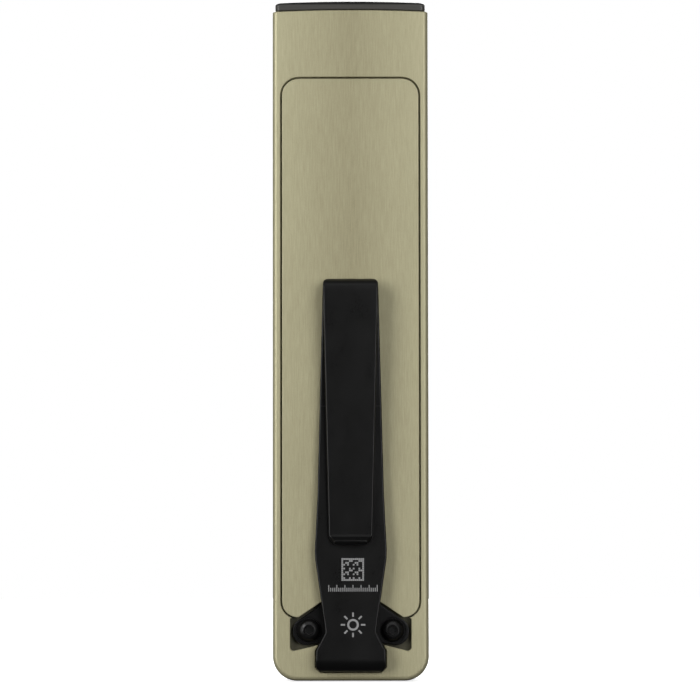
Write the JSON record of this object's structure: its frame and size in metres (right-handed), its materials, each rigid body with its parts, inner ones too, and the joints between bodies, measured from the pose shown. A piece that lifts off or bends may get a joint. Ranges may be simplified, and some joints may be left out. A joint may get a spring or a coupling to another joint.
{
  "type": "flat pocket flashlight",
  "caption": "Flat slab-shaped pocket flashlight with a selector dial, a push switch, a black bezel, a flush rear cover and a two-way folded pocket clip.",
  "frame": {"origin": "centre of the charging contact pin's face, in the flat plane of the tail", "axes": "+Z along the light from tail to head (the beam's direction), the rear cover and pocket clip face -Y, the selector dial faces +Y, +X to the right seen from behind"},
  "size_m": [0.0256, 0.0211, 0.1122],
  "materials": {
    "anodised_body": "fine vertical brushed grain, olive-tan anodised, satin",
    "black_anodised": "black anodised, satin",
    "clip_black": "black coated spring steel, smooth satin",
    "screw_black": "black coated steel, satin",
    "steel": "plain steel",
    "copper_gold": "gold flash on copper alloy, polished",
    "clear_glass": "clear coated glass",
    "clear_plastic": "clear moulded plastic",
    "black_plastic": "fine moulded texture",
    "white_plastic": "smooth",
    "rubber": "matt",
    "foam": "fine foam",
    "circuit_board": "solder mask, semi-gloss",
    "battery_foil": "laminated foil pouch",
    "wire_red": "smooth insulation",
    "wire_black": "smooth insulation"
  },
  "bodies": {
    "root": {"body_shell": "anodised_body", "rear_cover": "anodised_body", "cover_gasket": "rubber", "bezel": "black_anodised", "window_glass": "clear_glass", "window_seal": "rubber", "optic_holder": "black_plastic", "beam_lens": "clear_plastic", "led_emitter": "white_plastic", "led_board": "circuit_board", "thermal_pad": "foam", "laser_barrel": "copper_gold", "laser_lens": "clear_glass", "selector_hub": "black_anodised", "hub_clip": "steel", "detent_spring": "steel", "switch_boot": "rubber", "tact_switch": "black_plastic", "driver_board": "circuit_board", "board_screw_1": "steel", "board_screw_2": "steel", "driver_inductor": "black_plastic", "driver_chip": "black_plastic", "driver_capacitor": "battery_foil", "position_sensor": "black_plastic", "indicator_lens": "clear_plastic", "indicator_led_1": "white_plastic", "indicator_led_2": "white_plastic", "indicator_led_3": "white_plastic", "indicator_led_4": "white_plastic", "battery_cell": "battery_foil", "battery_pad_front": "foam", "battery_pad_rear": "foam", "battery_guard_board": "circuit_board", "tail_plate": "black_plastic", "contact_ring": "copper_gold", "contact_insulator": "white_plastic", "contact_pin": "copper_gold", "tail_magnet": "steel", "charge_board": "circuit_board", "clip_base": "clip_black", "clip_screw_left": "screw_black", "clip_screw_right": "screw_black", "charge_lead_plus": "wire_red", "charge_lead_minus": "wire_black", "battery_lead_plus": "wire_red", "battery_lead_minus": "wire_black", "led_lead_plus": "wire_red", "led_lead_minus": "wire_black", "laser_lead": "wire_red"},
    "selector": {"selector_ring": "black_anodised", "selector_magnet": "steel"},
    "button": {"switch_button": "black_anodised"},
    "clip_arm": {"clip_arm": "clip_black"},
    "clip_outer": {"clip_outer_arm": "clip_black"}
  },
  "joints": [
    {"name": "selector_turn", "type": "hinge", "parent": "root", "child": "selector", "pos_m": [0, 0.0077, 0.089], "axis": [0, 1, 0], "range_deg": [-45, 45]},
    {"name": "button_press", "type": "slide", "parent": "root", "child": "button", "axis": [0, -1, 0], "range_m": [0, 0.0005], "stiffness_N_per_m": 1200, "springref_m": -0.001},
    {"name": "clip_flex", "type": "hinge", "parent": "root", "child": "clip_arm", "pos_m": [0, -0.00815, 0.00355], "axis": [1, 0, 0], "range_deg": [0, 3.5], "stiffness_Nm_per_rad": 4, "springref_deg": -1.15},
    {"name": "clip_outer_flex", "type": "hinge", "parent": "clip_arm", "child": "clip_outer", "pos_m": [0, -0.0097, 0.06405], "axis": [-1, 0, 0], "range_deg": [0, 5], "stiffness_Nm_per_rad": 2, "springref_deg": -1.15}
  ]
}
